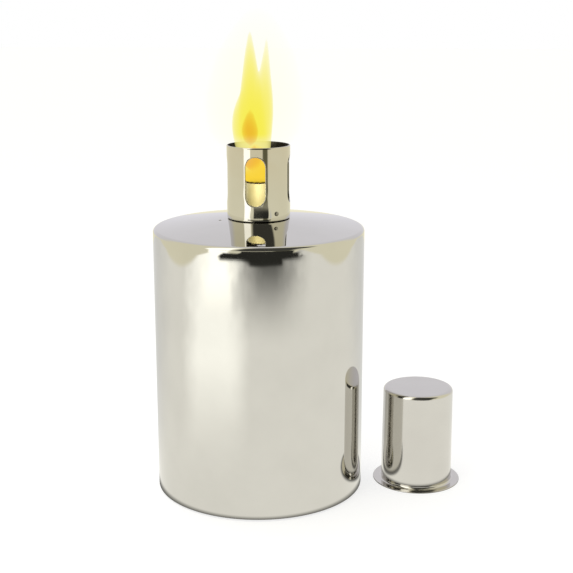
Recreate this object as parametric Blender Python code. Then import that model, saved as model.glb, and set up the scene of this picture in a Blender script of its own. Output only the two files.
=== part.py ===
"""Tabletop spirit lamp: a fuel tank, a plug-in wick burner with a windowed flame guard, and its snuffer cup.

Metres, +Z up. The origin is on the tank's axis, on the surface that the lamp stands on. The guard's windows
face -Y, +X, +Y and -X, and the snuffer cup stands beside the tank.
"""

from math import atan, cos, pi, radians, sin

import bmesh
import bpy
from mathutils import Matrix

MM = 0.001

# Driving dimensions
SHEET = 0.8 * MM  # thickness of the pressed steel pieces
GAP = 0.3 * MM  # kept between neighbouring solids
FINE_GAP = 0.15 * MM  # kept between pieces that fit one inside the other
GUARD_GAP = 0.4 * MM  # from the tank's top up to the guard's foot

TANK_RADIUS = 55 * MM
TANK_FOOT_Z = 0.8 * MM  # lower rim of the tank's wall, held off the table by the pad
SHOULDER_TOP_Z = 141 * MM
SHOULDER_RADIUS = 2 * MM
CROWN_RISE = 5.9 * MM
CROWN_POWER = 1.35  # between a cone's 1 and a paraboloid's 2
VENT_DISTANCE = 20.6 * MM
VENT_AZIMUTH = radians(202)
VENT_RADIUS = 0.8 * MM

PAD_RADIUS = 52.5 * MM
PAD_THICKNESS = 2.7 * MM

NECK_BORE_RADIUS = 12.4 * MM
NECK_RADIUS = 13.6 * MM
NECK_TOP_Z = 151.2 * MM
NECK_FLANGE_RADIUS = 17.5 * MM
NECK_FLANGE_THICKNESS = 1.2 * MM
SEAL_GROOVE_DEPTH = 0.6 * MM
SEAL_GROOVE_Z = 147.5 * MM
SEAL_GROOVE_WIDTH = 1.5 * MM

GUARD_RADIUS = 16.35 * MM
GUARD_TOP_Z = 183.5 * MM
GUARD_RIM_LIP = 0.4 * MM
WINDOW_WIDTH = 10.6 * MM
WINDOW_LENGTH = 24.8 * MM
WINDOW_CENTRE_Z = 166.3 * MM

RIVETS = 2
RIVET_AZIMUTH = -50  # degrees, of the first one
RIVET_Z = 149.8 * MM
RIVET_SHANK_RADIUS = 0.7 * MM
RIVET_HEAD_RADIUS = 1.15 * MM
RIVET_HEAD_HEIGHT = 0.35 * MM

WICK_TUBE_RADIUS = 7 * MM
WICK_TUBE_WALL = 0.5 * MM
WICK_TUBE_FOOT_Z = 126 * MM
WICK_TUBE_RIM_Z = 164.2 * MM
COLLAR_RADIUS = 9 * MM
COLLAR_HEIGHT = 2.6 * MM

WICK_RADIUS = 6.25 * MM
WICK_FOOT_Z = 12 * MM
WICK_TIP_Z = 166.6 * MM
WICK_TIP_ROUND = 1.5 * MM
WICK_BAND_HEIGHT = 8 * MM
WICK_BAND_WALL = 0.5 * MM

SNUFFER_DISTANCE = 85.7 * MM
SNUFFER_AZIMUTH = radians(6.5)
SNUFFER_HEIGHT = 52.5 * MM
SNUFFER_CROWN_RADIUS = 18.6 * MM
SNUFFER_MOUTH_RADIUS = 19.1 * MM
SNUFFER_EDGE_RADIUS = 2.0 * MM
SNUFFER_FLANGE_RADIUS = 23.5 * MM
SNUFFER_FILLET = 1.2 * MM

# Facets around each kind of round piece
TANK_STEPS = 72
BURNER_STEPS = 48
SMALL_STEPS = 16
CROWN_RINGS = 7

# Places that follow from the driving dimensions
TANK_BORE_RADIUS = TANK_RADIUS - SHEET
TOP_HOLE_RADIUS = NECK_RADIUS + FINE_GAP
GUARD_BORE_RADIUS = GUARD_RADIUS - SHEET
SKIRT_RADIUS = GUARD_BORE_RADIUS - GAP
SKIRT_BORE_RADIUS = SKIRT_RADIUS - SHEET
PLATE_UNDERSIDE_Z = NECK_TOP_Z + GAP
PLATE_TOP_Z = PLATE_UNDERSIDE_Z + SHEET
PLATE_HOLE_RADIUS = WICK_TUBE_RADIUS + FINE_GAP
DOME_TURNS = [radians(0), radians(35), radians(65)]


def clear_scene():
    for obj in list(bpy.data.objects):
        bpy.data.objects.remove(obj)


def finish_of(name, color, roughness, metallic):
    """A Principled material of one colour."""
    material = bpy.data.materials.new(name)
    material.use_nodes = True
    shader = material.node_tree.nodes["Principled BSDF"]
    shader.inputs["Base Color"].default_value = (*color, 1)
    shader.inputs["Roughness"].default_value = roughness
    shader.inputs["Metallic"].default_value = metallic
    return material


def arc(centre, radius, start, end, pieces):
    """Points of an arc in the (radius, height) plane, both ends included; angles from the outward direction."""
    turns = [start + (end - start) * i / pieces for i in range(pieces + 1)]
    return [(centre[0] + radius * cos(turn), centre[1] + radius * sin(turn)) for turn in turns]


def object_from(name, bm, material):
    """An object with the finished bmesh in it, its faces pointing out and its round sides smooth."""
    bmesh.ops.recalc_face_normals(bm, faces=bm.faces)
    mesh = bpy.data.meshes.new(name)
    bm.to_mesh(mesh)
    bm.free()
    mesh.materials.append(material)
    mesh.shade_smooth()
    mesh.set_sharp_from_angle(angle=radians(35))
    obj = bpy.data.objects.new(name, mesh)
    bpy.context.scene.collection.objects.link(obj)
    return obj


def turned(name, outline, material, steps):
    """A body turned about Z. The outline is a loop of (radius, height) points, or a chain from axis to axis."""
    bm = bmesh.new()
    points = [bm.verts.new((radius, 0, height)) for radius, height in outline]
    meets_axis = outline[0][0] == 0 and outline[-1][0] == 0
    nexts = points[1:] if meets_axis else points[1:] + points[:1]
    edges = [bm.edges.new(pair) for pair in zip(points, nexts)]
    whole = dict(axis=(0, 0, 1), cent=(0, 0, 0), angle=2 * pi, steps=steps, use_merge=True)
    bmesh.ops.spin(bm, geom=points + edges, **whole)
    bmesh.ops.remove_doubles(bm, verts=bm.verts, dist=1e-6)
    return object_from(name, bm, material)


def sleeve(name, bore, radius, low, high, material, steps):
    """A plain tube or ring."""
    outline = [(bore, low), (radius, low), (radius, high), (bore, high)]
    return turned(name, outline, material, steps)


def cut(obj, cutter):
    """Cuts one shape out of an object, and leaves the cutter as a hidden wire guide."""
    cutter.hide_render = True
    cutter.display_type = "WIRE"
    boolean = obj.modifiers.new("cut " + cutter.name, "BOOLEAN")
    boolean.operation = "DIFFERENCE"
    boolean.solver = "EXACT"
    boolean.object = cutter


def crown_height(radius):
    """Height of the tank's outer top surface at this distance from the axis."""
    return CROWN_EDGE_Z + CROWN_RISE * (1 - (radius / CROWN_EDGE_RADIUS) ** CROWN_POWER)


# The crown is a shallow dome, nearly a cone, that leaves the shoulder's arc without a kink
SHOULDER_CENTRE = (TANK_RADIUS - SHOULDER_RADIUS, SHOULDER_TOP_Z - SHOULDER_RADIUS)
CROWN_EDGE_SLOPE = atan(CROWN_POWER * CROWN_RISE / TANK_RADIUS)
SHOULDER_SWEEP = pi / 2 - CROWN_EDGE_SLOPE
CROWN_EDGE_RADIUS = SHOULDER_CENTRE[0] + SHOULDER_RADIUS * cos(SHOULDER_SWEEP)
CROWN_EDGE_Z = SHOULDER_CENTRE[1] + SHOULDER_RADIUS * sin(SHOULDER_SWEEP)
GUARD_FOOT_Z = crown_height(GUARD_RADIUS) + GUARD_GAP


def tank_shell(steel):
    """The drawn can: a wall open below, a rounded shoulder and a crowned top with a filler and a vent hole."""
    shares = [i / CROWN_RINGS for i in range(1, CROWN_RINGS + 1)]
    reach = CROWN_EDGE_RADIUS - TOP_HOLE_RADIUS
    crown_radii = [CROWN_EDGE_RADIUS - share * reach for share in shares]
    outside = [(TANK_RADIUS, TANK_FOOT_Z)]
    outside += arc(SHOULDER_CENTRE, SHOULDER_RADIUS, 0, SHOULDER_SWEEP, 5)
    outside += [(radius, crown_height(radius)) for radius in crown_radii]
    inside = [(TANK_BORE_RADIUS, TANK_FOOT_Z)]
    inside += arc(SHOULDER_CENTRE, SHOULDER_RADIUS - SHEET, 0, SHOULDER_SWEEP, 3)
    inside += [(radius, crown_height(radius) - SHEET) for radius in crown_radii]
    shell = turned("tank_shell", outside + inside[::-1], steel, TANK_STEPS)
    middle = crown_height(VENT_DISTANCE)
    drill = round_cutter("vent_drill", VENT_RADIUS, middle - 2 * SHEET, middle + SHEET)
    drill.location = (VENT_DISTANCE * cos(VENT_AZIMUTH), VENT_DISTANCE * sin(VENT_AZIMUTH), 0)
    cut(shell, drill)
    return shell


def round_cutter(name, radius, low, high):
    """A solid round cutter that stands on Z."""
    return turned(name, [(0, low), (radius, low), (radius, high), (0, high)], None, SMALL_STEPS)


def bottom_plate(steel):
    """A disc with a turned-down skirt, pressed into the tank's foot."""
    rim = TANK_BORE_RADIUS - FINE_GAP
    low = TANK_FOOT_Z + FINE_GAP
    under = PAD_THICKNESS + GAP
    outline = [(0, under), (rim - SHEET, under), (rim - SHEET, low), (rim, low), (rim, under + SHEET)]
    return turned("bottom_plate", outline + [(0, under + SHEET)], steel, TANK_STEPS)


def base_pad(foam):
    """The disc that the lamp stands on, recessed in the bottom plate."""
    outline = [(0, 0), (PAD_RADIUS, 0), (PAD_RADIUS, PAD_THICKNESS), (0, PAD_THICKNESS)]
    return turned("base_pad", outline, foam, TANK_STEPS)


def filler_neck(steel):
    """A turned collar with a flange under the tank's top and a groove for its seal."""
    flange_top = crown_height(NECK_FLANGE_RADIUS) - SHEET - GAP
    foot = flange_top - NECK_FLANGE_THICKNESS
    groove = NECK_RADIUS - SEAL_GROOVE_DEPTH
    half = SEAL_GROOVE_WIDTH / 2
    outline = [
        (NECK_BORE_RADIUS, foot),
        (NECK_FLANGE_RADIUS, foot),
        (NECK_FLANGE_RADIUS, flange_top),
        (NECK_RADIUS, flange_top),
        (NECK_RADIUS, SEAL_GROOVE_Z - half),
        (groove, SEAL_GROOVE_Z - half),
        (groove, SEAL_GROOVE_Z + half),
        (NECK_RADIUS, SEAL_GROOVE_Z + half),
        (NECK_RADIUS, NECK_TOP_Z),
        (NECK_BORE_RADIUS, NECK_TOP_Z),
    ]
    return turned("filler_neck", outline, steel, BURNER_STEPS)


def neck_seal(silicone):
    """A round-section ring in the neck's groove."""
    low = NECK_RADIUS - SEAL_GROOVE_DEPTH + FINE_GAP
    high = SKIRT_BORE_RADIUS - FINE_GAP
    section = arc(((low + high) / 2, SEAL_GROOVE_Z), (high - low) / 2, 0, 2 * pi, 8)[:-1]
    return turned("neck_seal", section, silicone, BURNER_STEPS)


def window_cutter(name, half_turn):
    """An upright obround bar through the guard, along Y, or along X after half a turn of the pair."""
    radius = WINDOW_WIDTH / 2
    straight = WINDOW_LENGTH / 2 - radius
    upper = [(x, z + WINDOW_CENTRE_Z) for x, z in arc((0, straight), radius, 0, pi, 12)]
    lower = [(x, z + WINDOW_CENTRE_Z) for x, z in arc((0, -straight), radius, pi, 2 * pi, 12)]
    bm = bmesh.new()
    face = bm.faces.new([bm.verts.new((x, -2 * GUARD_RADIUS, z)) for x, z in upper + lower])
    grown = bmesh.ops.extrude_face_region(bm, geom=[face])
    far = [item for item in grown["geom"] if isinstance(item, bmesh.types.BMVert)]
    bmesh.ops.translate(bm, verts=far, vec=(0, 4 * GUARD_RADIUS, 0))
    bmesh.ops.rotate(bm, verts=bm.verts, cent=(0, 0, 0), matrix=Matrix.Rotation(half_turn, 3, "Z"))
    return object_from(name, bm, None)


def rivet_drill(name, azimuth):
    """A round bar across the burner's skirt on one rivet's axis."""
    bm = bmesh.new()
    bmesh.ops.create_cone(
        bm,
        cap_ends=True,
        segments=SMALL_STEPS,
        radius1=RIVET_SHANK_RADIUS + FINE_GAP,
        radius2=RIVET_SHANK_RADIUS + FINE_GAP,
        depth=4 * SHEET,
        matrix=rivet_place(azimuth, SKIRT_RADIUS),
    )
    return object_from(name, bm, None)


def rivet_place(azimuth, radius):
    """The matrix that puts a shape made along +Z on a rivet's axis, pointing outwards."""
    outward = Matrix.Rotation(azimuth, 4, "Z") @ Matrix.Rotation(pi / 2, 4, "Y")
    return Matrix.Translation((radius * cos(azimuth), radius * sin(azimuth), RIVET_Z)) @ outward


def rivet_azimuths():
    """The rivets stand opposite each other, between the windows."""
    return [radians(RIVET_AZIMUTH) + 2 * pi * i / RIVETS for i in range(RIVETS)]


def flame_guard(steel):
    """The windowed tube, with its rivet holes."""
    outline = [
        (GUARD_BORE_RADIUS, GUARD_FOOT_Z),
        (GUARD_RADIUS, GUARD_FOOT_Z),
        (GUARD_RADIUS, GUARD_TOP_Z - GUARD_RIM_LIP),
        (GUARD_RADIUS - GUARD_RIM_LIP / 2, GUARD_TOP_Z),
        (GUARD_BORE_RADIUS, GUARD_TOP_Z),
    ]
    guard = turned("flame_guard", outline, steel, BURNER_STEPS)
    cut(guard, window_cutter("windows_front_back", 0))
    cut(guard, window_cutter("windows_left_right", pi / 2))
    for number, azimuth in enumerate(rivet_azimuths(), 1):
        cut(guard, rivet_drill(f"guard_drill_{number}", azimuth))
    return guard


def burner_plate(steel):
    """The pressed cup that closes the neck: a disc with a hole for the wick tube, and a riveted skirt."""
    outline = [
        (PLATE_HOLE_RADIUS, PLATE_UNDERSIDE_Z),
        (SKIRT_BORE_RADIUS, PLATE_UNDERSIDE_Z),
        (SKIRT_BORE_RADIUS, GUARD_FOOT_Z + GAP),
        (SKIRT_RADIUS, GUARD_FOOT_Z + GAP),
        (SKIRT_RADIUS, PLATE_TOP_Z - SHEET / 2),
        (SKIRT_RADIUS - SHEET / 2, PLATE_TOP_Z),
        (PLATE_HOLE_RADIUS, PLATE_TOP_Z),
    ]
    plate = turned("burner_plate", outline, steel, BURNER_STEPS)
    for number, azimuth in enumerate(rivet_azimuths(), 1):
        cut(plate, rivet_drill(f"plate_drill_{number}", azimuth))
    return plate


def guard_rivet(number, azimuth, steel):
    """A rivet through guard and skirt: a low domed head outside, a shank, and a flat head inside."""
    outside = FINE_GAP
    inside = SKIRT_BORE_RADIUS - GUARD_RADIUS - FINE_GAP
    flat_head = inside - RIVET_HEAD_HEIGHT / 2
    dome = [(RIVET_HEAD_RADIUS * cos(turn), outside + RIVET_HEAD_HEIGHT * sin(turn)) for turn in DOME_TURNS]
    outline = [
        (0, flat_head),
        (RIVET_HEAD_RADIUS, flat_head),
        (RIVET_HEAD_RADIUS, inside),
        (RIVET_SHANK_RADIUS, inside),
        (RIVET_SHANK_RADIUS, outside),
    ]
    outline += dome + [(0, outside + RIVET_HEAD_HEIGHT)]
    rivet = turned(f"guard_rivet_{number}", outline, steel, SMALL_STEPS)
    rivet.matrix_world = rivet_place(azimuth, GUARD_RADIUS)
    return rivet


def wick_tube(steel):
    """The tube that carries the wick, with a slightly rounded rim."""
    bore = WICK_TUBE_RADIUS - WICK_TUBE_WALL
    middle = WICK_TUBE_RADIUS - WICK_TUBE_WALL / 2
    rim = arc((middle, WICK_TUBE_RIM_Z - WICK_TUBE_WALL / 2), WICK_TUBE_WALL / 2, 0, pi, 4)
    outline = [(bore, WICK_TUBE_FOOT_Z), (WICK_TUBE_RADIUS, WICK_TUBE_FOOT_Z)] + rim
    return turned("wick_tube", outline, steel, BURNER_STEPS)


def tube_collar(steel):
    """The ring under the plate that holds the wick tube upright."""
    high = PLATE_UNDERSIDE_Z - GAP
    low = high - COLLAR_HEIGHT
    return sleeve("tube_collar", PLATE_HOLE_RADIUS, COLLAR_RADIUS, low, high, steel, BURNER_STEPS)


def wick(fibre):
    """The rope from the tank's floor to just over the tube's rim, with a worn, rounded tip."""
    tip = arc((WICK_RADIUS - WICK_TIP_ROUND, WICK_TIP_Z - WICK_TIP_ROUND), WICK_TIP_ROUND, 0, pi / 2, 3)
    outline = [(0, WICK_FOOT_Z), (WICK_RADIUS, WICK_FOOT_Z)] + tip + [(0, WICK_TIP_Z)]
    return turned("wick", outline, fibre, BURNER_STEPS)


def wick_band(steel):
    """The crimped band near the wick's lower end."""
    bore = WICK_RADIUS + FINE_GAP
    low = WICK_FOOT_Z + MM
    radius = bore + WICK_BAND_WALL
    return sleeve("wick_band", bore, radius, low, low + WICK_BAND_HEIGHT, steel, BURNER_STEPS)


def snuffer_cup(steel):
    """A drawn cup, mouth down: a slightly tapered wall, a rounded crown edge and a flat flange."""
    edge = (SNUFFER_CROWN_RADIUS - SNUFFER_EDGE_RADIUS, SNUFFER_HEIGHT - SNUFFER_EDGE_RADIUS)
    fillet = (SNUFFER_MOUTH_RADIUS + SNUFFER_FILLET, SHEET + SNUFFER_FILLET)
    outside = [(0, SNUFFER_HEIGHT)]
    outside += arc(edge, SNUFFER_EDGE_RADIUS, pi / 2, 0, 5)
    outside += arc(fillet, SNUFFER_FILLET, pi, 3 * pi / 2, 4)
    outside += [(SNUFFER_FLANGE_RADIUS, SHEET), (SNUFFER_FLANGE_RADIUS, 0)]
    inside = arc(fillet, SNUFFER_FILLET + SHEET, 3 * pi / 2, pi, 4)
    inside += arc(edge, SNUFFER_EDGE_RADIUS - SHEET, 0, pi / 2, 3)
    inside += [(0, SNUFFER_HEIGHT - SHEET)]
    cup = turned("snuffer_cup", outside + inside, steel, BURNER_STEPS)
    cup.location = (SNUFFER_DISTANCE * cos(SNUFFER_AZIMUTH), SNUFFER_DISTANCE * sin(SNUFFER_AZIMUTH), 0)
    return cup


def build():
    clear_scene()
    polished = finish_of("mirror polished steel", (0.60, 0.59, 0.56), 0.05, 1)
    pressed = finish_of("pressed sheet steel", (0.48, 0.47, 0.45), 0.3, 1)
    silicone = finish_of("moulded silicone", (0.35, 0.05, 0.03), 0.5, 0)
    foam = finish_of("closed cell foam", (0.03, 0.03, 0.03), 0.9, 0)
    fibre = finish_of("braided glass fibre", (0.75, 0.72, 0.65), 0.9, 0)
    tank_shell(polished)
    bottom_plate(pressed)
    base_pad(foam)
    filler_neck(pressed)
    neck_seal(silicone)
    burner = bpy.data.objects.new("burner", None)
    bpy.context.scene.collection.objects.link(burner)
    pieces = [flame_guard(polished), burner_plate(pressed), wick_tube(polished), tube_collar(pressed)]
    pieces += [guard_rivet(number, azimuth, pressed) for number, azimuth in enumerate(rivet_azimuths(), 1)]
    pieces += [wick(fibre), wick_band(pressed)]
    for piece in pieces:
        piece.parent = burner
    snuffer_cup(polished)


build()
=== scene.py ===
"""Looks of a tabletop spirit lamp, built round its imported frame. Metres, +Z up, origin under the tank."""

import bmesh
import bpy
import numpy as np
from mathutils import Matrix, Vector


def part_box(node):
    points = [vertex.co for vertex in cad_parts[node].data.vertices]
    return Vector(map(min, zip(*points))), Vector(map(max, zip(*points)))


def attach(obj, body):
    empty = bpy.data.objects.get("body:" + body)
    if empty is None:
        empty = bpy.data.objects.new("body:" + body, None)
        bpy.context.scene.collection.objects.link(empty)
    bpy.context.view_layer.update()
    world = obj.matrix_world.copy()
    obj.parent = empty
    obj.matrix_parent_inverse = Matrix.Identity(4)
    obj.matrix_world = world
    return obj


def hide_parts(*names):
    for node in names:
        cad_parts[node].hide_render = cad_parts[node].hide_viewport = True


MM = 0.001
TAU = 2 * np.pi

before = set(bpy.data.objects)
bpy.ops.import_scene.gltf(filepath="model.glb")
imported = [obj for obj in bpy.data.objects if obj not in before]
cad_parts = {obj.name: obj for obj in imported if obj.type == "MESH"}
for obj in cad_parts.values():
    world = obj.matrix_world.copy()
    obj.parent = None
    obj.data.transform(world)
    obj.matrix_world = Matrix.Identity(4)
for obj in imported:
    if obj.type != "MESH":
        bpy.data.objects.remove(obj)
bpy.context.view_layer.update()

# ---- Sizes: read from the frame where it has them, and named here where a fillet or a sheet gives them

SHEET = 0.8 * MM
tank_low, tank_high = (np.array(corner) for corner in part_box("tank_shell"))
TANK_RADIUS = tank_high[1]
TANK_FOOT_Z = tank_low[2]
SHOULDER_TOP_Z = 141 * MM
SHOULDER_RADIUS = 2 * MM
CROWN_RISE = 5.9 * MM
CROWN_POWER = 1.35  # between a cone's 1 and a paraboloid's 2
TOP_HOLE_RADIUS = 13.75 * MM
VENT_DISTANCE = 20.6 * MM
VENT_AZIMUTH = np.radians(202)
VENT_RADIUS = 0.8 * MM

guard_low, guard_high = (np.array(corner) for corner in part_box("flame_guard"))
GUARD_RADIUS = guard_high[1]
WINDOW_WIDTH = 10.6 * MM
WINDOW_LENGTH = 24.8 * MM
WINDOW_CENTRE_Z = 166.3 * MM
WINDOWS = 4

snuffer_low, snuffer_high = (np.array(corner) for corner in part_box("snuffer_cup"))
SNUFFER_CENTRE = (snuffer_low + snuffer_high)[:2] / 2
SNUFFER_FLANGE_RADIUS = (snuffer_high - snuffer_low)[1] / 2
SNUFFER_HEIGHT = snuffer_high[2]
SNUFFER_CROWN_RADIUS = 18.6 * MM
SNUFFER_MOUTH_RADIUS = 19.1 * MM
SNUFFER_EDGE_RADIUS = 2.0 * MM
SNUFFER_FILLET = 1.2 * MM

TUBE_HOLE_RADIUS = 7.15 * MM  # through the burner plate and its collar
RIVET_AZIMUTH = -50  # of the first rivet, in degrees from +X towards +Y; the second is opposite

CAMERA_AZIMUTH = np.radians(6.2)  # round the tank from -Y towards +X
TOWARD = np.array([np.sin(CAMERA_AZIMUTH), -np.cos(CAMERA_AZIMUTH), 0])  # level, from the tank to the camera
RIGHT = np.array([np.cos(CAMERA_AZIMUTH), np.sin(CAMERA_AZIMUTH), 0])  # level, to the camera's right

# ---- Shapes: every surface is a grid of points worked out as whole arrays


def arc(centre, radius, start, end, count):
    """Points of a circle in the (radius, height) plane from one angle to another."""
    turn = np.linspace(start, end, count)
    return np.column_stack([centre[0] + radius * np.cos(turn), centre[1] + radius * np.sin(turn)])


def run(start, end, count):
    """Points along a straight line between two points, both left out."""
    share = np.linspace(0, 1, count + 2)[1:-1, None]
    return np.array(start) * (1 - share) + np.array(end) * share


def rounded(corners, bends=6, hold=0.15 * MM):
    """A closed outline from corners of (radius, height, rounding).

    Each corner becomes an arc that touches both of its sides: its centre lies on the corner's bisector at
    rounding / sin(half the corner's angle). A point just before and after the arc keeps the flats flat.
    """
    corners = np.array(corners, float)
    tip, rounding = corners[:, :2], corners[:, 2]
    back, ahead = np.roll(tip, 1, 0) - tip, np.roll(tip, -1, 0) - tip
    side = np.linalg.norm(ahead, axis=1)
    back /= np.linalg.norm(back, axis=1)[:, None]
    ahead /= side[:, None]
    half = np.arccos(np.clip((back * ahead).sum(1), -1, 1)) / 2
    reach = rounding / np.tan(half)
    bisector = (back + ahead) / np.maximum(np.linalg.norm(back + ahead, axis=1), 1e-9)[:, None]
    centre = tip + bisector * (rounding / np.sin(half))[:, None]
    start, end = tip + back * reach[:, None], tip + ahead * reach[:, None]
    first = np.arctan2(*(start - centre).T[::-1])
    sweep = (np.arctan2(*(end - centre).T[::-1]) - first + np.pi) % TAU - np.pi
    turn = first[:, None] + sweep[:, None] * np.linspace(0, 1, bends)
    bend = centre[:, None] + rounding[:, None, None] * np.stack([np.cos(turn), np.sin(turn)], -1)
    spare = side - reach - np.roll(reach, -1)
    before = start + back * np.minimum(hold, np.roll(spare, 1) / 3)[:, None]
    after = end + ahead * np.minimum(hold, spare / 3)[:, None]
    return np.concatenate([before[:, None], bend, after[:, None]], 1).reshape(-1, 2)


def lathe(outline, steps, centre=(0, 0)):
    """A grid turned about an upright axis: x = cx + r cos(t), y = cy + r sin(t), z = h."""
    turn = np.arange(steps)[:, None] * TAU / steps
    radius, height = outline[None, :, 0], outline[None, :, 1]
    x, y = centre[0] + radius * np.cos(turn), centre[1] + radius * np.sin(turn)
    return np.stack([x, y, height + 0 * turn], -1)


def quads(rows, columns, wrap_rows=True, wrap_columns=True, keep=None):
    """Corner numbers of a grid's faces, joined end to end where it wraps; keep says which faces stay."""
    number = np.arange(rows * columns).reshape(rows, columns)
    down, right = np.roll(number, -1, 0), np.roll(number, -1, 1)
    faces = np.stack([number, down, np.roll(down, -1, 1), right], -1)
    chosen = np.ones((rows, columns), bool) if keep is None else keep.copy()
    chosen[-1] &= wrap_rows
    chosen[:, -1] &= wrap_columns
    return faces[chosen]


def piece(name, grids, material):
    """One smooth closed mesh from grids of (points, faces), welded where they meet, with its faces out."""
    starts = np.cumsum([0] + [points.reshape(-1, 3).shape[0] for points, _ in grids])
    points = np.concatenate([points.reshape(-1, 3) for points, _ in grids])
    faces = np.concatenate([faces + start for (_, faces), start in zip(grids, starts)])
    mesh = bpy.data.meshes.new(name)
    mesh.from_pydata(points.tolist(), [], faces.tolist())
    shape = bmesh.new()
    shape.from_mesh(mesh)
    bmesh.ops.remove_doubles(shape, verts=shape.verts, dist=1e-6)
    loose = [edge for edge in shape.edges if not edge.link_faces]
    bmesh.ops.delete(shape, geom=loose, context="EDGES")
    bmesh.ops.recalc_face_normals(shape, faces=shape.faces)
    shape.to_mesh(mesh)
    shape.free()
    mesh.shade_smooth()
    mesh.materials.append(material)
    made = bpy.data.objects.new(name, mesh)
    bpy.context.scene.collection.objects.link(made)
    return made


def turned(name, outline, material, steps, centre=(0, 0)):
    """A piece turned on a lathe from a closed outline."""
    points = lathe(outline, steps, centre)
    return piece(name, [(points, quads(*points.shape[:2]))], material)


def window_loop(first_row, last_row, first_column, last_column):
    """Row and column numbers around the edge of a rectangular part of a grid."""
    along = last_column - first_column
    across = last_row - first_row
    rows = [np.arange(first_row, last_row), np.full(along, last_row)]
    rows += [np.arange(last_row, first_row, -1), np.full(along, first_row)]
    columns = [np.full(across, first_column), np.arange(first_column, last_column)]
    columns += [np.full(across, last_column), np.arange(last_column, first_column, -1)]
    return np.concatenate(rows), np.concatenate(columns)


def pierced(loop, centre, straight, radius, edge, flats=8):
    """Fills the space between a loop and a hole in a sheet, as (across, along, depth) of a grid of rings.

    A ring is spine + way * distance, where spine is the nearest point of the hole's middle line, and way
    points from it to the loop. The rings run over the outer face, round the hole's edge, down its wall, and
    back on the inner face. Straight is half the length of the hole's middle line, 0 for a round hole.
    """
    along = np.clip(loop[:, 1] - centre[1], -straight, straight)
    spine = np.array(centre) + np.column_stack([0 * along, along])
    way = loop - spine
    distance = np.linalg.norm(way, axis=1)
    way /= distance[:, None]
    share = np.linspace(0, 1, flats)[:, None]
    flat = distance * (1 - share) + (radius + edge) * share
    turn = np.linspace(0, np.pi / 2, 5)[1:, None]
    bend = radius + edge * (1 - np.sin(turn)) + 0 * distance
    outer = np.concatenate([flat, bend])
    depth = np.concatenate([0 * share, edge * (1 - np.cos(turn))])[:, 0]
    reach = np.concatenate([outer, outer[::-1]])
    depth = np.concatenate([depth, SHEET - depth[::-1]])
    return spine + way * reach[:, :, None], depth


def placed(grid, azimuth, radius, height):
    """A grid made along +Z, laid on its side to point outwards from the tank's axis."""
    outward = np.array([np.cos(azimuth), np.sin(azimuth), 0])
    sideways = np.array([-np.sin(azimuth), np.cos(azimuth), 0])
    up = np.array([0, 0, 1])
    start = outward * radius + up * height
    return start + grid @ np.stack([up * -1, sideways, outward])


# ---- Camera and studio

CAMERA_DISTANCE = 0.6034  # level, from the tank's axis
CAMERA_HEIGHT = 0.2553
CAMERA_PITCH = np.radians(13.67)  # below level
CAMERA_ASIDE = np.radians(1.37)  # aimed this far right of the tank's axis

camera = bpy.data.objects.new("camera", bpy.data.cameras.new("camera"))
bpy.context.scene.collection.objects.link(camera)
bpy.context.scene.camera = camera
camera.location = TOWARD * CAMERA_DISTANCE + [0, 0, CAMERA_HEIGHT]
camera.rotation_euler = (np.pi / 2 - CAMERA_PITCH, 0, CAMERA_AZIMUTH - CAMERA_ASIDE)
camera.data.lens = 73.9
camera.data.sensor_width = 36
camera.data.clip_start = 0.01

bpy.context.scene.view_settings.view_transform = "Standard"


def linear(hex_color):
    """An sRGB hex colour as linear red, green, blue and alpha."""
    value = np.array([int(hex_color[i : i + 2], 16) for i in (1, 3, 5)]) / 255
    line = np.where(value <= 0.04045, value / 12.92, ((value + 0.055) / 1.055) ** 2.4)
    return (*line.tolist(), 1)


def add(tree, kind, links=None, **settings):
    """Adds a node with its settings; links gives each input a value, an output or a node's first output."""
    made = tree.nodes.new(kind)
    for name, value in settings.items():
        setattr(made, name, value)
    for socket, source in (links or {}).items():
        if isinstance(source, bpy.types.Node):
            source = next(output for output in source.outputs if output.enabled)
        if isinstance(source, bpy.types.NodeSocket):
            tree.links.new(source, made.inputs[socket])
        else:
            made.inputs[socket].default_value = source
    return made


def blank(name):
    """A new material without nodes, and its tree."""
    material = bpy.data.materials.new(name)
    material.use_nodes = True
    material.node_tree.nodes.clear()
    return material, material.node_tree


def fade(tree, value, start, end, low=0.0, high=1.0):
    """A smooth step of a value: low at start, high at end."""
    links = {0: value, 1: start, 2: end, 3: low, 4: high}
    return add(tree, "ShaderNodeMapRange", links, interpolation_type="SMOOTHSTEP")


def both(tree, *masks):
    """Where all of several masks are 1: their product."""
    made = masks[0]
    for mask in masks[1:]:
        made = add(tree, "ShaderNodeMath", {0: made, 1: mask}, operation="MULTIPLY")
    return made


def between(tree, value, low, high, soft):
    """1 where a value lies between two others, fading over a soft border."""
    return both(tree, fade(tree, value, low, low + soft), fade(tree, value, high - soft, high, 1.0, 0.0))


def painted(tree, base, *layers):
    """Colours laid over a base in turn, each as far as its mask goes from 0 to 1."""
    for mask, color in layers:
        base = add(tree, "ShaderNodeMix", {0: mask, 6: base, 7: color}, data_type="RGBA")
    return base


def bearings(tree, vector):
    """From a place or direction: how far towards the camera, how far to its right, and bearing in degrees."""
    ahead = add(tree, "ShaderNodeVectorMath", {0: vector, 1: TOWARD}, operation="DOT_PRODUCT")
    aside = add(tree, "ShaderNodeVectorMath", {0: vector, 1: RIGHT}, operation="DOT_PRODUCT")
    turn = add(tree, "ShaderNodeMath", {0: aside, 1: ahead}, operation="ARCTAN2")
    return ahead, aside, add(tree, "ShaderNodeMath", {0: turn, 1: 360 / TAU}, operation="MULTIPLY")


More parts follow.
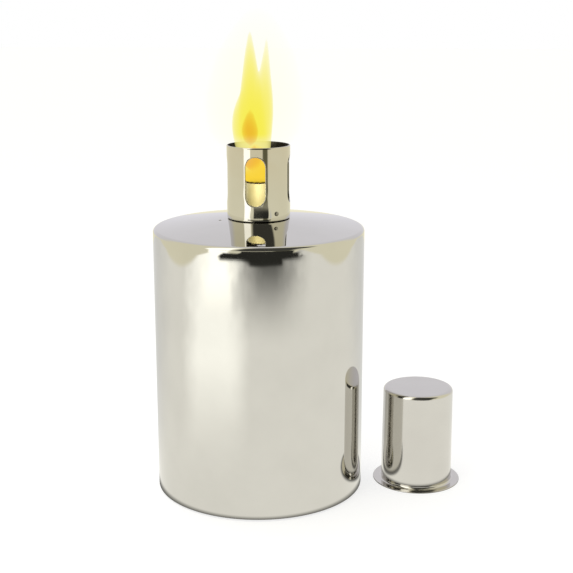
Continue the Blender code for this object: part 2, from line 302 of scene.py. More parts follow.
# Brightness of the studio's surfaces as the polished steel mirrors them
WALL_BEHIND = (0.84, 0.83, 0.885, 1)
WARM_ROOM = (0.94, 0.9, 0.7, 1)
LIT_WINDOW = (1.9, 1.88, 1.75, 1)
DARK_ROOM_AND_CONTACT_SHADOW = (0.03, 0.03, 0.026, 1)
DARK_HIGH = (0.07, 0.069, 0.06, 1)
DARK_WOOD = (0.16, 0.155, 0.09, 1)
BENCH_WHITE = (1.04, 1.03, 0.97, 1)
BENCH_LIT = (1.5, 1.5, 1.42, 1)
BENCH_BRIGHT = (1.9, 1.88, 1.75, 1)
BENCH_SHADE_BEHIND = (0.8, 0.8, 0.78, 1)
BENCH_SHADED = (0.16, 0.16, 0.15, 1)
BENCH_FRONT = 0.632  # from the lamp to the front edge of the white bench
BENCH_SIDE = 0.61  # from the lamp to its side and back edges
FLOOR_HALF = 6.0  # half the side of the squares that carry the bench and its mirrored look
MIRRORED_HEIGHT = 0.3 * MM  # the mirrored look lies this far over the bench


def studio_world():
    """Pale walls behind; in front a warm room with a lit window at the left and someone dark in it."""
    world = bpy.data.worlds.new("studio")
    world.use_nodes = True
    tree = world.node_tree
    tree.nodes.clear()
    direction = add(tree, "ShaderNodeTexCoord")
    height = add(tree, "ShaderNodeSeparateXYZ", {0: direction}).outputs["Z"]
    _, _, bearing = bearings(tree, direction)
    turned_away = add(tree, "ShaderNodeMath", {0: bearing}, operation="ABSOLUTE")
    in_front = fade(tree, turned_away, 100, 135, 1.0, 0.0)
    window = both(tree, between(tree, bearing, -60, -28, 5), fade(tree, height, 0.9, 0.97, 1.0, 0.0))
    lean = {0: fade(tree, height, 0.3, 0.5), 1: -30, 2: bearing}
    leaning = add(tree, "ShaderNodeMath", lean, operation="MULTIPLY_ADD")
    someone = both(tree, fade(tree, bearing, -30, -19), fade(tree, leaning, 33, 44, 1.0, 0.0))
    room = painted(tree, WALL_BEHIND, (in_front, WARM_ROOM), (window, LIT_WINDOW), (someone, DARK_HIGH))
    seen = add(tree, "ShaderNodeLightPath").outputs["Is Camera Ray"]
    background = add(tree, "ShaderNodeBackground", {"Color": painted(tree, room, (seen, (1, 1, 1, 1)))})
    add(tree, "ShaderNodeOutputWorld", {"Surface": background})
    bpy.context.scene.world = world


def bench_material():
    """White acrylic lit from below: it glows, so shadows on it are faint."""
    material, tree = blank("back-lit white acrylic")
    glow = add(tree, "ShaderNodeEmission", {"Color": (1, 1, 1, 1), "Strength": 0.77})
    matt = add(tree, "ShaderNodeBsdfDiffuse", {"Color": (0.32, 0.32, 0.32, 1)})
    add(tree, "ShaderNodeOutputMaterial", {"Surface": add(tree, "ShaderNodeAddShader", {0: glow, 1: matt})})
    return material


def mirrored_bench_material():
    """What the steel mirrors of the bench, and of the room in front of it.

    The bench has painted light at the left, and painted shade at the front and behind the lamp, with painted
    contact shadow round what stands on it.
    Beyond its edge the room is warm, with the lit window, and with someone dark who reaches only so far up.
    Close to the lamp the bearings sway a little, so that no edge runs quite straight. Bearings are in degrees
    to the right of the camera's side, and distances in metres from the lamp.
    """
    material, tree = blank("bench as mirrored")
    place = add(tree, "ShaderNodeTexCoord").outputs["Object"]
    ahead, aside, bearing = bearings(tree, place)
    distance = add(tree, "ShaderNodeVectorMath", {0: place}, operation="LENGTH")
    uneven = add(tree, "ShaderNodeTexNoise", {"Vector": place, "Scale": 7, "Detail": 2})
    sway = {0: fade(tree, uneven, 0.3, 0.7, -1.0), 1: fade(tree, distance, 0.9, 1.3, 3.0, 0.0), 2: bearing}
    bearing = add(tree, "ShaderNodeMath", sway, operation="MULTIPLY_ADD")
    turned_away = add(tree, "ShaderNodeMath", {0: bearing}, operation="ABSOLUTE")
    layers = [
        (both(tree, between(tree, bearing, -88, -8, 26), fade(tree, distance, 0.08, 0.34)), BENCH_LIT),
        (both(tree, between(tree, bearing, -66, -20, 18), fade(tree, distance, 0.42, 0.6)), BENCH_BRIGHT),
        # Painted shade on the bench behind the lamp.
        (fade(tree, turned_away, 95, 150), BENCH_SHADE_BEHIND),
        (both(tree, between(tree, bearing, -36, 58, 46), fade(tree, distance, 0.34, 0.66)), BENCH_SHADED),
    ]
    # Painted contact shadow: the bench darkens within 5 mm round the feet of the tank and the snuffer.
    for centre, edge in (((0, 0, 0), TANK_RADIUS), ((*SNUFFER_CENTRE.tolist(), 0), SNUFFER_FLANGE_RADIUS)):
        reach = add(tree, "ShaderNodeVectorMath", {0: place, 1: centre}, operation="DISTANCE")
        layers.append((fade(tree, reach, edge, edge + 5 * MM, 0.85, 0.0), DARK_ROOM_AND_CONTACT_SHADOW))
    bench = painted(tree, BENCH_WHITE, *layers)

    window = both(tree, between(tree, bearing, -56, -28, 4), fade(tree, distance, 0.7, 0.75))
    middle = both(tree, between(tree, bearing, -22, 36, 4), fade(tree, distance, 0.86, 0.96, 1.0, 0.0))
    post = both(tree, between(tree, bearing, 12, 36, 6), fade(tree, distance, 0.86, 0.96))
    room = painted(tree, WARM_ROOM, (window, LIT_WINDOW), (middle, DARK_ROOM_AND_CONTACT_SHADOW), (post, DARK_WOOD))

    aside, ahead = (add(tree, "ShaderNodeMath", {0: way}, operation="ABSOLUTE") for way in (aside, ahead))
    scaled = add(tree, "ShaderNodeMath", {0: ahead, 1: BENCH_SIDE / BENCH_FRONT}, operation="MULTIPLY")
    widest = add(tree, "ShaderNodeMath", {0: aside, 1: scaled}, operation="MAXIMUM")
    beyond = fade(tree, widest, BENCH_SIDE - 0.012, BENCH_SIDE + 0.02)
    edge = both(tree, fade(tree, distance, 0.65, 0.67), fade(tree, distance, 0.76, 0.83, 1.0, 0.0))
    far = {0: edge, 1: fade(tree, distance, 1.5, 2.2)}
    outer = add(tree, "ShaderNodeMath", far, operation="MAXIMUM")
    low = both(tree, outer, between(tree, bearing, -43, 47, 5))
    front = both(tree, between(tree, bearing, -15, 30, 8), fade(tree, distance, 0.625, 0.645))
    front = both(tree, front, fade(tree, distance, 0.72, 0.78, 1.0, 0.0))
    dark = add(tree, "ShaderNodeMath", {0: low, 1: front}, operation="MAXIMUM")
    seen = painted(tree, bench, (beyond, room), (dark, DARK_ROOM_AND_CONTACT_SHADOW))
    add(tree, "ShaderNodeOutputMaterial", {"Surface": add(tree, "ShaderNodeEmission", {"Color": seen})})
    return material


def flat_square(name, half, height, material):
    """A level square."""
    corners = [(-half, -half, height), (half, -half, height), (half, half, height), (-half, half, height)]
    mesh = bpy.data.meshes.new(name)
    mesh.from_pydata(corners, [], [(0, 1, 2, 3)])
    mesh.materials.append(material)
    made = bpy.data.objects.new(name, mesh)
    bpy.context.scene.collection.objects.link(made)
    return made


def studio():
    """The bench, what the steel mirrors of it, and a soft box overhead."""
    studio_world()
    flat_square("bench", FLOOR_HALF, 0.0, bench_material())
    # A painted reflection, seen only in the steel, with the bench's painted light, shade and contact shadow.
    mirrored = flat_square("mirrored_bench", FLOOR_HALF, MIRRORED_HEIGHT, mirrored_bench_material())
    mirrored.visible_camera = False
    mirrored.visible_diffuse = False
    mirrored.visible_shadow = False
    mirrored.visible_transmission = False
    mirrored.visible_volume_scatter = False
    box = bpy.data.objects.new("soft_box", bpy.data.lights.new("soft_box", "AREA"))
    box.data.size = 0.7
    box.data.energy = 3.0
    box.location = (-0.25, -0.1, 0.95)
    box.visible_glossy = False
    bpy.context.scene.collection.objects.link(box)


studio()


# ---- Materials


def finished(name, color, roughness, bump, **fixed):
    """A material whose colour, bump and perhaps roughness come from nodes; fixed holds its other values."""
    material, tree = blank(name)
    dullness = roughness(tree) if callable(roughness) else roughness
    links = {"Base Color": color(tree), "Roughness": dullness, "Normal": bump(tree), **fixed}
    shader = add(tree, "ShaderNodeBsdfPrincipled", links)
    add(tree, "ShaderNodeOutputMaterial", {"Surface": shader})
    return material


def bumped(tree, height, depth, below=None):
    """A bump of this height pattern, this many metres deep, over another if there is one."""
    links = {"Height": height, "Distance": depth}
    return add(tree, "ShaderNodeBump", links | ({"Normal": below} if below else {}))


def mottled(tree, size, detail=3.0, stretch=(1, 1, 1), vector=None):
    """Noise whose blotches are about this many metres across."""
    place = vector or add(tree, "ShaderNodeTexCoord").outputs["Object"]
    scaled = add(tree, "ShaderNodeMapping", {"Vector": place, "Scale": stretch})
    return add(tree, "ShaderNodeTexNoise", {"Vector": scaled, "Scale": 1 / size, "Detail": detail})


def turned_place(tree, centre=(0, 0, 0)):
    """The place as (distance from an upright axis, nothing, height), so that a pattern forms rings."""
    place = add(tree, "ShaderNodeTexCoord").outputs["Object"]
    moved = add(tree, "ShaderNodeVectorMath", {0: place, 1: centre}, operation="SUBTRACT")
    split = add(tree, "ShaderNodeSeparateXYZ", {0: moved})
    flat = add(tree, "ShaderNodeCombineXYZ", {"X": split.outputs["X"], "Y": split.outputs["Y"]})
    reach = add(tree, "ShaderNodeVectorMath", {0: flat}, operation="LENGTH")
    return add(tree, "ShaderNodeCombineXYZ", {"X": reach, "Z": split.outputs["Z"]})


def polished_steel(name, hex_color, centre=(0, 0, 0), ripple=72e-6, tint=None, dull=0.0, soot=0.0):
    """Stainless steel, drawn and buffed to a mirror.

    The eye sees the room in it, slightly bent by the ripple of the drawn sheet, with faint buffing rings and
    handling smears that dull the mirror a little. Within the radius soot it is brown and matt from the flame.
    """

    def sooty(tree):
        reach = add(tree, "ShaderNodeSeparateXYZ", {0: turned_place(tree, centre)}).outputs["X"]
        patchy = fade(tree, mottled(tree, 5 * MM), 0.2, 0.6, 0.8, 1.0)
        return both(tree, patchy, fade(tree, reach, soot - 0.2 * MM, soot, 1.0, 0.0))

    def color(tree):
        base = painted(tree, linear(hex_color), (mottled(tree, 22 * MM), linear("#d3d1cb")))
        base = tint(tree, base) if tint else base
        return painted(tree, base, (sooty(tree), linear("#39352e"))) if soot else base

    def roughness(tree):
        smears = fade(tree, mottled(tree, 14 * MM, 5.0), 0.45, 0.75, dull, dull + 0.035)
        rings = mottled(tree, 0.35 * MM, 2.0, vector=turned_place(tree, centre))
        scratches = fade(tree, rings, 0.62, 0.8, 0.025, 0.07)
        made = add(tree, "ShaderNodeMath", {0: smears, 1: scratches}, operation="ADD")
        if soot:
            made = add(tree, "ShaderNodeMath", {0: sooty(tree), 1: 0.45, 2: made}, operation="MULTIPLY_ADD")
        return made

    def bump(tree):
        rings = mottled(tree, 0.5 * MM, 2.0, vector=turned_place(tree, centre))
        return bumped(tree, rings, 0.4e-6, bumped(tree, mottled(tree, 45 * MM, 1.0), ripple))

    return finished(name, color, roughness, bump, Metallic=1.0)


def straw_tint(top, reach, strength):
    """Heat tint: the steel turns straw-coloured towards the flame, strongest at this height."""

    def tint(tree, base):
        place = add(tree, "ShaderNodeTexCoord").outputs["Object"]
        height = add(tree, "ShaderNodeSeparateXYZ", {0: place}).outputs["Z"]
        above = add(tree, "ShaderNodeMath", {0: height, 1: top}, operation="SUBTRACT")
        near = fade(tree, add(tree, "ShaderNodeMath", {0: above}, operation="ABSOLUTE"), 0, reach, 1.0, 0.0)
        uneven = both(tree, near, fade(tree, mottled(tree, 9 * MM), 0.25, 0.65, 0.5, 1.0), strength)
        return painted(tree, base, (uneven, linear("#c2a566")))

    return tint


def satin_steel(name, hex_color):
    """Stainless steel as it comes from the press or the lathe: satin, with fine rings from the tool."""

    def rings(tree):
        return mottled(tree, 0.3 * MM, 3.0, vector=turned_place(tree))

    return finished(
        name,
        lambda tree: painted(tree, linear(hex_color), (mottled(tree, 6 * MM), linear("#a8a59d"))),
        lambda tree: fade(tree, rings(tree), 0.3, 0.7, 0.2, 0.38),
        lambda tree: bumped(tree, rings(tree), 4e-6),
        Metallic=1.0,
    )


def moulded_silicone():
    """Moulded silicone rubber: soft red-brown, matt, with a faint bloom of dust."""
    return finished(
        "moulded silicone",
        lambda tree: painted(tree, linear("#8a3423"), (mottled(tree, 3 * MM), linear("#9c4a38"))),
        0.55,
        lambda tree: bumped(tree, mottled(tree, 0.4 * MM), 6e-6),
        IOR=1.41,
    )


def cut_foam():
    """Closed-cell foam cut from sheet: near black, matt, with pores about 0.3 mm across."""

    def pores(tree):
        place = add(tree, "ShaderNodeTexCoord").outputs["Object"]
        return add(tree, "ShaderNodeTexVoronoi", {"Vector": place, "Scale": 1 / (0.45 * MM)})

    def color(tree):
        return painted(tree, linear("#161616"), (fade(tree, pores(tree), 0.1, 0.6), linear("#2c2b2a")))

    return finished(
        "cut closed-cell foam",
        color,
        0.85,
        lambda tree: bumped(tree, pores(tree), 0.08 * MM),
    )


WICK_TIP_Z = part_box("wick")[1][2]
WICK_CHAR = 3.2 * MM  # how far down the wick is burnt black


def braided_glass_fibre():
    """Braided glass fibre: off-white yarns of fine filaments, burnt black at the tip and tanned below it.

    The filaments run along the yarns, so their pattern follows the rope's map: U across them, V up the rope.
    """

    def filaments(tree):
        return mottled(tree, 1.0, 3.0, (250, 14, 1), add(tree, "ShaderNodeUVMap", uv_map="yarn"))

    def color(tree):
        place = add(tree, "ShaderNodeTexCoord").outputs["Object"]
        height = add(tree, "ShaderNodeSeparateXYZ", {0: place}).outputs["Z"]
        links = {0: mottled(tree, 1.5 * MM), 1: 4 * MM, 2: height}
        ragged = add(tree, "ShaderNodeMath", links, operation="MULTIPLY_ADD")
        char_start = WICK_TIP_Z - WICK_CHAR + 1 * MM
        return painted(
            tree,
            linear("#b9b1a0"),
            (filaments(tree), linear("#e6e0d2")),
            (fade(tree, ragged, WICK_TIP_Z - 12 * MM, WICK_TIP_Z), linear("#7a5630")),
            (fade(tree, ragged, char_start, char_start + 2 * MM), linear("#14110e")),
        )

    return finished(
        "braided glass fibre",
        color,
        0.8,
        lambda tree: bumped(tree, filaments(tree), 0.06 * MM),
    )


def heat_dulled_steel():
    """The drawn wick tube after many hours in the flame: a pale, chalky film over satin steel."""
    return finished(
        "heat-dulled stainless steel, wick tube",
        lambda tree: painted(tree, linear("#ece6c4"), (mottled(tree, 4 * MM), linear("#dccf9c"))),
        0.42,
        lambda tree: bumped(tree, mottled(tree, 0.6 * MM), 4e-6),
        Metallic=0.35,
    )


mirror_steel = polished_steel("mirror-polished stainless steel", "#c9c7c1")
guard_steel = polished_steel(
    "mirror-polished stainless steel, heat-tinted",
    "#cac7bd",
    ripple=24e-6,
    tint=straw_tint(guard_high[2], 30 * MM, 0.14),
    soot=GUARD_RADIUS - SHEET / 2,
)
snuffer_steel = polished_steel(
    "polished stainless steel, snuffer",
    "#c8c5c0",
    (*SNUFFER_CENTRE.tolist(), 0),
    ripple=12e-6,
    dull=0.07,
)
sheet_steel = satin_steel("pressed stainless steel", "#bab7b0")
rivet_steel = satin_steel("headed stainless steel wire", "#8d8a84")

# ---- Pieces


def crown_height(radius):
    """The tank's top, nearly a cone: height = edge height + rise * (1 - (radius / edge radius) ^ power)."""
    return CROWN_EDGE_Z + CROWN_RISE * (1 - (radius / CROWN_EDGE_RADIUS) ** CROWN_POWER)


SHOULDER_CENTRE = (TANK_RADIUS - SHOULDER_RADIUS, SHOULDER_TOP_Z - SHOULDER_RADIUS)
SHOULDER_SWEEP = np.pi / 2 - np.arctan(CROWN_POWER * CROWN_RISE / TANK_RADIUS)
CROWN_EDGE_RADIUS = SHOULDER_CENTRE[0] + SHOULDER_RADIUS * np.cos(SHOULDER_SWEEP)
CROWN_EDGE_Z = SHOULDER_CENTRE[1] + SHOULDER_RADIUS * np.sin(SHOULDER_SWEEP)


def tank_shell():
    """The drawn can: a turned wall, shoulder and crown in one sheet, with a vent pierced beside the neck."""
    steps, edge = 256, 0.25 * MM
    foot = (TANK_RADIUS, TANK_FOOT_Z + edge)
    wall = run(foot, SHOULDER_CENTRE + np.array([SHOULDER_RADIUS, 0]), 40)
    shoulder = arc(SHOULDER_CENTRE, SHOULDER_RADIUS, 0, SHOULDER_SWEEP, 18)
    crown_radii = np.linspace(CROWN_EDGE_RADIUS, TOP_HOLE_RADIUS + edge, 50)[1:]
    crown = np.column_stack([crown_radii, crown_height(crown_radii)])
    rolled_foot = arc((TANK_RADIUS - edge, TANK_FOOT_Z + edge), edge, -np.pi / 2, 0, 5)
    outer = np.concatenate([rolled_foot, wall, shoulder, crown])
    sheet_foot = [(TANK_RADIUS - SHEET + edge, TANK_FOOT_Z)]
    inner_wall = [(TANK_RADIUS - SHEET, TANK_FOOT_Z + edge)]
    inner_shoulder = arc(SHOULDER_CENTRE, SHOULDER_RADIUS - SHEET, 0, SHOULDER_SWEEP, 8)
    inner = np.concatenate([sheet_foot, inner_wall, inner_shoulder, crown - [0, SHEET]])
    rim_top = (TOP_HOLE_RADIUS + edge, crown[-1, 1] - edge)
    rim = arc(rim_top, edge, np.pi / 2, np.pi, 5)[1:]
    rim_low = arc((rim_top[0], inner[-1, 1] + edge), edge, np.pi, 3 * np.pi / 2, 5)[:-1]
    outline = np.concatenate([outer, rim, rim_low, inner[::-1]])
    points = lathe(outline, steps)

    step = int(round(VENT_AZIMUTH / TAU * steps))
    nearest = int(np.argmin(np.abs(crown_radii - VENT_DISTANCE)))
    row, column = (step - 5, step + 5), len(outer) - len(crown) + nearest
    back_column = len(outline) - 1 - (len(inner) - len(crown) + nearest)
    keep = np.ones(points.shape[:2], bool)
    keep[row[0] : row[1], column - 3 : column + 3] = False
    keep[row[0] : row[1], back_column - 3 : back_column + 3] = False
    rows, columns = window_loop(*row, column - 3, column + 3)
    vent = VENT_DISTANCE * np.array([np.cos(VENT_AZIMUTH), np.sin(VENT_AZIMUTH)])
    across, depth = pierced(points[rows, columns, :2], vent, 0, VENT_RADIUS, 0.15 * MM)
    height = crown_height(np.linalg.norm(across, axis=-1)) - depth[:, None]
    ring = np.concatenate([across, height[..., None]], -1)
    grids = [(points, quads(*points.shape[:2], keep=keep)), (ring, quads(*ring.shape[:2], wrap_rows=False))]
    return piece("tank_can", grids, mirror_steel)


def flame_guard():
    """The windowed tube: a rolled sheet in which each window is pierced between four rows and columns."""
    steps, edge = 256, 0.25 * MM
    border = 1.2 * MM  # of sheet that is drawn with each window
    low, high = guard_low[2] + edge, guard_high[2] - edge
    bore = GUARD_RADIUS - SHEET
    heights = np.linspace(low, high, 72)
    foot = arc((GUARD_RADIUS - edge, low), edge, -np.pi / 2, 0, 5)[:-1]
    rim = arc((GUARD_RADIUS - edge, high), edge, 0, np.pi / 2, 5)[1:]
    rim_back = arc((bore + edge, high), edge, np.pi / 2, np.pi, 5)[:-1]
    foot_back = arc((bore + edge, low), edge, np.pi, 3 * np.pi / 2, 5)[1:]
    outside = np.column_stack([0 * heights + GUARD_RADIUS, heights])
    inside = np.column_stack([0 * heights + bore, heights[::-1]])
    outline = np.concatenate([foot, outside, rim, rim_back, inside, foot_back])
    points = lathe(outline, steps)

    keep = np.ones(points.shape[:2], bool)
    first = int(np.searchsorted(heights, WINDOW_CENTRE_Z - WINDOW_LENGTH / 2 - border)) - 1
    last = int(np.searchsorted(heights, WINDOW_CENTRE_Z + WINDOW_LENGTH / 2 + border))
    column = (len(foot) + first, len(foot) + last)
    back = len(outline) - len(foot_back) - 1
    half = int(np.ceil((WINDOW_WIDTH / 2 + border) / (TAU * GUARD_RADIUS / steps)))
    grids = []
    for window in range(WINDOWS):
        middle = window * steps // WINDOWS
        rows = np.arange(middle - half, middle + half) % steps
        keep[rows, column[0] : column[1]] = False
        keep[rows, back - last : back - first] = False
        loop_rows, loop_columns = window_loop(middle - half, middle + half, *column)
        loop = np.stack([loop_rows * TAU * GUARD_RADIUS / steps, outline[loop_columns, 1]], -1)
        centre = (middle * TAU * GUARD_RADIUS / steps, WINDOW_CENTRE_Z)
        across, depth = pierced(loop, centre, (WINDOW_LENGTH - WINDOW_WIDTH) / 2, WINDOW_WIDTH / 2, edge, 6)
        turn, radius = across[..., 0] / GUARD_RADIUS, GUARD_RADIUS - depth[:, None]
        ring = np.stack([radius * np.cos(turn), radius * np.sin(turn), across[..., 1]], -1)
        grids.append((ring, quads(*ring.shape[:2], wrap_rows=False)))
    grids.append((points, quads(*points.shape[:2], keep=keep)))
    return piece("flame_guard_tube", grids, guard_steel)


def snuffer_cup():
    """The drawn cup, mouth down, with a flat flange whose rim is rounded."""
    lip = SHEET / 2 * 0.9
    crown, inner_crown = SNUFFER_HEIGHT, SNUFFER_HEIGHT - SHEET
    corners = [
        (0, crown, 0),
        (SNUFFER_CROWN_RADIUS, crown, SNUFFER_EDGE_RADIUS),
        (SNUFFER_MOUTH_RADIUS, SHEET, SNUFFER_FILLET),
        (SNUFFER_FLANGE_RADIUS, SHEET, lip),
        (SNUFFER_FLANGE_RADIUS, 0, lip),
        (SNUFFER_MOUTH_RADIUS - SHEET, 0, SNUFFER_FILLET + SHEET),
        (SNUFFER_CROWN_RADIUS - SHEET, inner_crown, SNUFFER_EDGE_RADIUS - SHEET),
        (0, inner_crown, 0),
    ]
    return turned("snuffer_cap", rounded(corners, 10), snuffer_steel, 192, SNUFFER_CENTRE)


def from_box(node):
    """A round node's outer radius, and its lowest and highest height, from the frame."""
    low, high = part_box(node)
    return (high[1] - low[1]) / 2, low[2], high[2]


def bottom_plate():
    """The pressed disc with its turned-down skirt."""
    radius, low, high = from_box("bottom_plate")
    edge = 0.25 * MM
    corners = [
        (0, high, 0),
        (radius, high, SHEET),
        (radius, low, edge),
        (radius - SHEET, low, edge),
        (radius - SHEET, high - SHEET, edge),
        (0, high - SHEET, 0),
    ]
    return turned("pressed_bottom", rounded(corners), sheet_steel, 192)


def base_pad():
    """The foam disc, its cut edges slightly soft."""
    radius, low, high = from_box("base_pad")
    corners = [(0, high, 0), (radius, high, 0.3 * MM), (radius, low, 0.3 * MM), (0, low, 0)]
    return turned("foam_base_pad", rounded(corners), cut_foam(), 128)


def filler_neck():
    """The turned collar: a flange, a barrel with a groove for its ring, and a chamfered mouth."""
    flange, low, high = from_box("filler_neck")
    bore, barrel, groove = 12.4 * MM, 13.6 * MM, 13.0 * MM
    shelf, ring_z, half = low + 1.2 * MM, from_box("neck_seal")[1] + 0.575 * MM, 0.75 * MM
    edge = 0.15 * MM
    corners = [
        (bore, low, 0.3 * MM),
        (flange, low, edge),
        (flange, shelf, edge),
        (barrel, shelf, edge),
        (barrel, ring_z - half, edge),
        (groove, ring_z - half, edge),
        (groove, ring_z + half, edge),
        (barrel, ring_z + half, edge),
        (barrel, high, 0.3 * MM),
        (bore, high, 0.3 * MM),
    ]
    return turned("turned_neck", rounded(corners, hold=0.1 * MM), sheet_steel, 128)


def neck_seal():
    """A ring of round section: a circle carried round the neck."""
    radius, low, high = from_box("neck_seal")
    thick = (high - low) / 2
    section = arc((radius - thick, (low + high) / 2), thick, 0, TAU * 15 / 16, 16)
    return turned("seal_ring", section, moulded_silicone(), 128)


def burner_plate():
    """The pressed cup over the neck: a disc with a turned-down skirt and a hole for the wick tube."""
    radius, low, high = from_box("burner_plate")
    corners = [
        (TUBE_HOLE_RADIUS, high - SHEET, 0.1 * MM),
        (radius - SHEET, high - SHEET, 0.2 * MM),
        (radius - SHEET, low, 0.2 * MM),
        (radius, low, 0.2 * MM),
        (radius, high, 0.6 * MM),
        (TUBE_HOLE_RADIUS, high, 0.3 * MM),
    ]
    return turned("pressed_burner_plate", rounded(corners), sheet_steel, 128)


def wick_tube():
    """The drawn tube, its rim fully rounded."""
    radius, low, high = from_box("wick_tube")
    wall = 0.5 * MM
    round_rim, edge = wall * 0.49, 0.1 * MM
    corners = [
        (radius - wall, low, edge),
        (radius, low, edge),
        (radius, high, round_rim),
        (radius - wall, high, round_rim),
    ]
    outline = rounded(corners, 8)
    return turned("drawn_wick_tube", outline, heat_dulled_steel(), 128)


def tube_collar():
    """The ring under the plate, with broken edges."""
    radius, low, high = from_box("tube_collar")
    bore, edge = TUBE_HOLE_RADIUS, 0.25 * MM
    corners = [(bore, low, edge), (radius, low, edge), (radius, high, edge), (bore, high, edge)]
    return turned("wick_tube_ring", rounded(corners), sheet_steel, 96)


def wick_band():
    """The crimped band: a sleeve with two grooves pressed round it."""
    radius, low, high = from_box("wick_band")
    wall = 0.5 * MM
    share = np.linspace(0, 1, 40)
    crimp = sum(np.exp(-(((share - at) / 0.07) ** 2)) for at in (0.3, 0.7)) * 0.2 * MM
    outside = np.column_stack([radius - crimp, low + (high - low) * share])
    inside = np.column_stack([radius - wall + 0 * crimp, outside[:, 1]])[::-1]
    return turned("crimped_wick_band", np.concatenate([outside, inside]), sheet_steel, 96)


def rivet(number):
    """A rivet: a domed head outside the guard, its shank, and the head formed inside the skirt."""
    azimuth = np.radians(RIVET_AZIMUTH + 180 * (number - 1))
    low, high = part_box(f"guard_rivet_{number}")
    shank, head, dome = 0.7 * MM, 1.15 * MM, 0.35 * MM
    start, inner, flat = 0.15 * MM, -2.05 * MM, 0.175 * MM
    turn = np.linspace(0.15, 1.5, 12)
    outline = np.concatenate(
        [
            [(0, inner - flat)],
            arc((head - 0.08 * MM, inner - flat + 0.08 * MM), 0.08 * MM, -np.pi / 2, 0, 4),
            [(head, inner), (shank, inner), (shank, start)],
            arc((head - 0.08 * MM, start + 0.08 * MM), 0.08 * MM, -np.pi / 2, 0, 4),
            np.column_stack([head * np.cos(turn), start + dome * np.sin(turn)]),
            [(0, start + dome)],
        ]
    )
    points = placed(lathe(outline, 32), azimuth, GUARD_RADIUS, (low[2] + high[2]) / 2)
    return piece(f"rivet_{number}", [(points, quads(*points.shape[:2]))], rivet_steel)


def swept(path, out, wide, thick, swell):
    """A closed yarn: an ellipse carried along a path, wide along the surface and thick across it.

    Point = path + swell * (wide cos(v) sideways + thick sin(v) outwards); swell is 0 at both ends.
    """
    ahead = np.gradient(path, axis=0)
    ahead /= np.linalg.norm(ahead, axis=1)[:, None]
    side = np.cross(ahead, out)
    turn = np.linspace(0, TAU, 9)[None, :-1, None]
    grid = wide * np.cos(turn) * side[:, None] + thick * np.sin(turn) * out[:, None]
    return path[:, None] + grid * swell[:, None, None]


def wick():
    """The braided rope: a core, and twelve yarns each way that pass over and under each other.

    A yarn winds as angle = start ± rate * z. Both ways cross whenever yarns * rate * z is a multiple of pi,
    so radius = middle ± lift * cos(yarns * rate * z) takes one way over the other at every second crossing.
    """
    radius, low, high = from_box("wick")
    yarns, pitch, steps = 12, 34 * MM, 210
    wide, thick, lift = 1.0 * MM, 0.42 * MM, 0.3 * MM
    middle = radius - thick - lift
    z = np.linspace(low + 0.1 * MM, high - 0.2 * MM, steps)
    rate = TAU / pitch
    swell = np.clip(np.minimum(z - z[0], z[-1] - z) / (0.8 * MM), 0, 1) ** 0.5
    tip = 2.2 * MM
    draw_in = np.sqrt(1 - 0.55 * np.clip((z - (high - tip)) / tip, 0, 1) ** 2)
    grids = []
    for way in (1, -1):
        for yarn in range(yarns):
            turn = TAU * yarn / yarns + way * rate * z
            out = np.stack([np.cos(turn), np.sin(turn), 0 * turn], -1)
            reach = (middle + way * lift * np.cos(yarns * rate * z)) * draw_in
            path = out * reach[:, None] + np.stack([0 * z, 0 * z, z], -1)
            grid = swept(path, out, wide, thick, swell)
            grids.append((grid, quads(*grid.shape[:2], wrap_rows=False)))
    core = middle - 0.1 * MM
    corners = [(0, low, 0), (core, low, 0.3 * MM), (core, high, 2 * MM), (0, high, 0)]
    heart = lathe(rounded(corners), 64)
    grids.append((heart, quads(*heart.shape[:2])))
    made = piece("braided_wick", grids, braided_glass_fibre())
    lay_yarn_map(made, rate)
    return made


def lay_yarn_map(made, rate):
    """A UV map for the filaments: U across the yarns, with no seam round the rope, and V up it."""
    mesh = made.data
    points = np.empty(len(mesh.vertices) * 3)
    mesh.vertices.foreach_get("co", points)
    points = points.reshape(-1, 3)
    corner = np.empty(len(mesh.loops), int)
    mesh.loops.foreach_get("vertex_index", corner)
    u = np.cos(np.arctan2(points[:, 1], points[:, 0])) + points[:, 2] * rate
    v = points[:, 2] / (10 * MM)
    layer = mesh.uv_layers.new(name="yarn")
    layer.data.foreach_set("uv", np.stack([u, v], -1)[corner].ravel())


def settle(made, body, node):
    """Hands a piece to the body it moves with, and hides the node it stands for."""
    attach(made, body)
    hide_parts(node)


settle(tank_shell(), "tank", "tank_shell")
settle(bottom_plate(), "tank", "bottom_plate")
settle(base_pad(), "tank", "base_pad")
settle(filler_neck(), "tank", "filler_neck")
settle(neck_seal(), "tank", "neck_seal")
settle(flame_guard(), "burner", "flame_guard")
settle(burner_plate(), "burner", "burner_plate")
settle(wick_tube(), "burner", "wick_tube")
settle(tube_collar(), "burner", "tube_collar")
for number in (1, 2):
    settle(rivet(number), "burner", f"guard_rivet_{number}")
settle(wick(), "wick_rope", "wick")
settle(wick_band(), "wick_rope", "wick_band")
settle(snuffer_cup(), "snuffer", "snuffer_cup")

# ---- The flame: it burns on the wick and moves with it, but isn't part of the lamp


def burning(name, color, density, painted_glow=False, root=None):
    """Glowing gas: it hides what is behind it and gives off its own colour.

    Painted glow only tints what is behind it: it stands in for the flame's light in the air round it. Where
    gas has a root colour, it takes that at the guard's rim, and its own 6 mm above.
    """
    material, tree = blank(name)
    absorbed = color if painted_glow else (0, 0, 0, 1)
    gas = add(tree, "ShaderNodeVolumeAbsorption", {"Color": absorbed, "Density": density})
    if root:
        place = add(tree, "ShaderNodeTexCoord").outputs["Object"]
        height = add(tree, "ShaderNodeSeparateXYZ", {0: place}).outputs["Z"]
        color = painted(tree, root, (fade(tree, height, guard_high[2], guard_high[2] + 6 * MM), color))
    if not painted_glow:
        glow = add(tree, "ShaderNodeEmission", {"Color": color, "Strength": density})
        gas = add(tree, "ShaderNodeAddShader", {0: gas, 1: glow})
    add(tree, "ShaderNodeOutputMaterial", {"Volume": gas})
    return material


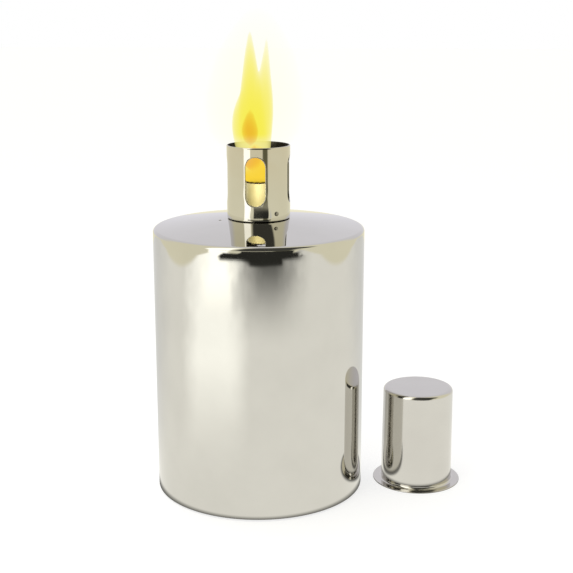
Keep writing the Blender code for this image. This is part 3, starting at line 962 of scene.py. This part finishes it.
def tongue(stations, depth=0.8, back=0.0, ease=3.0):
    """A closed tongue of flame through stations of (across, height, half width), in millimetres.

    Between stations the middle line and half width run straight and are then averaged, so they bend softly.
    Ring = middle + half width * (cos to the right, depth * sin away from the camera).
    """
    across, height, half = np.array(stations, float).T * MM
    z = np.linspace(height[0], height[-1], 90)
    padded = np.linspace(2 * z[0] - z[10], 2 * z[-1] - z[-11], 110)
    window = np.ones(21) / 21
    middle = np.convolve(np.interp(padded, height, across), window, "same")[10:-10]
    reach = np.convolve(np.interp(padded, height, half, 0, 0), window, "same")[10:-10]
    ends = np.clip(np.minimum((z - z[0]) / ease, (z[-1] - z) / 3) / MM, 0, 1) ** 0.5
    turn = np.linspace(0, TAU, 33)[None, :-1]
    x = middle[:, None] + (reach * ends)[:, None] * np.cos(turn)
    y = back * MM + (reach * ends)[:, None] * depth * np.sin(turn)
    grid = x[..., None] * RIGHT - y[..., None] * TOWARD + z[:, None, None] * np.array([0, 0, 1])
    return grid, quads(*grid.shape[:2], wrap_rows=False)


def flame():
    """Two tongues and a bulge run together, an orange heart and ember, a root on the wick and a halo of
    painted glow.
    """
    left = [(0, 165, 6), (-2, 180, 7), (-3, 192, 8), (-3.2, 205, 6.6), (-3.8, 219, 4.2)]
    left += [(-4, 232, 2.4), (-4, 241, 0.5)]
    right = [(0, 165, 6), (0, 180, 6), (1, 192, 6.5), (2.4, 206, 5.6), (3.4, 219, 3)]
    right += [(4.2, 229, 1.6), (4.5, 238, 0.4)]
    bulge = [(-1, 165, 5), (-4, 176, 6), (-7, 187, 6), (-8.2, 196, 5.6), (-7.4, 205, 4.2), (-5, 216, 1)]
    tongues = [tongue(left), tongue(right, 0.7, 2), tongue(bulge, 0.7, -2)]
    yellow, pale = (0.93, 0.84, 0.05, 1), (0.93, 0.86, 0.3, 1)
    made = [piece("flame_tongues", tongues, burning("burning vapour, yellow", yellow, 260, root=pale))]
    heart = tongue([(-4, 183, 2.4), (-4.2, 190, 4.4), (-4.4, 194, 3.8), (-4, 202, 0.8)], 0.9, -3)
    made.append(piece("flame_heart", [heart], burning("burning vapour, orange", (0.8, 0.25, 0.01, 1), 240)))
    ember = tongue([(-3, 170, 2), (-3, 175, 4.6), (-2.4, 179, 3.6), (-2, 184, 1)], 0.6, -5)
    made.append(piece("flame_ember", [ember], burning("burning vapour, ember", (0.84, 0.3, 0.02, 1), 300)))
    root = tongue([(0, 163.7, 8.2), (0, 167, 8.4), (0, 172, 7.6), (-1, 178, 6), (-2, 184, 4)], 1.0, ease=0.8)
    made.append(piece("flame_root", [root], burning("burning vapour, root", (0.96, 0.66, 0.05, 1), 800)))
    # Painted glow: a yellow tint round the flame, standing in for its light in the air.
    halo = tongue([(-2, 176, 6), (-2, 184, 22), (-2, 205, 26), (-1, 230, 20), (0, 252, 6)], 1.0)
    made.append(piece("flame_halo", [halo], burning("painted glow round the flame", (1, 1, 0.1, 1), 2.6, painted_glow=True)))
    for cloud in made:
        if cloud.name == "flame_tongues":
            merged = cloud.modifiers.new("merge", "REMESH")
            merged.mode = "VOXEL"
            merged.voxel_size = 0.6 * MM
        cloud.visible_shadow = False
        cloud.visible_glossy = cloud.name == "flame_halo"
        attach(cloud, "wick_rope")
    glow = bpy.data.objects.new("flame_light", bpy.data.lights.new("flame_light", "POINT"))
    glow.data.color = (1, 0.93, 0.6)
    glow.data.energy = 0.042
    glow.data.shadow_soft_size = 4 * MM
    glow.location = TOWARD * 30 * MM + [0, 0, 163 * MM]
    glow.visible_glossy = False
    bpy.context.scene.collection.objects.link(glow)
    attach(glow, "wick_rope")


flame()
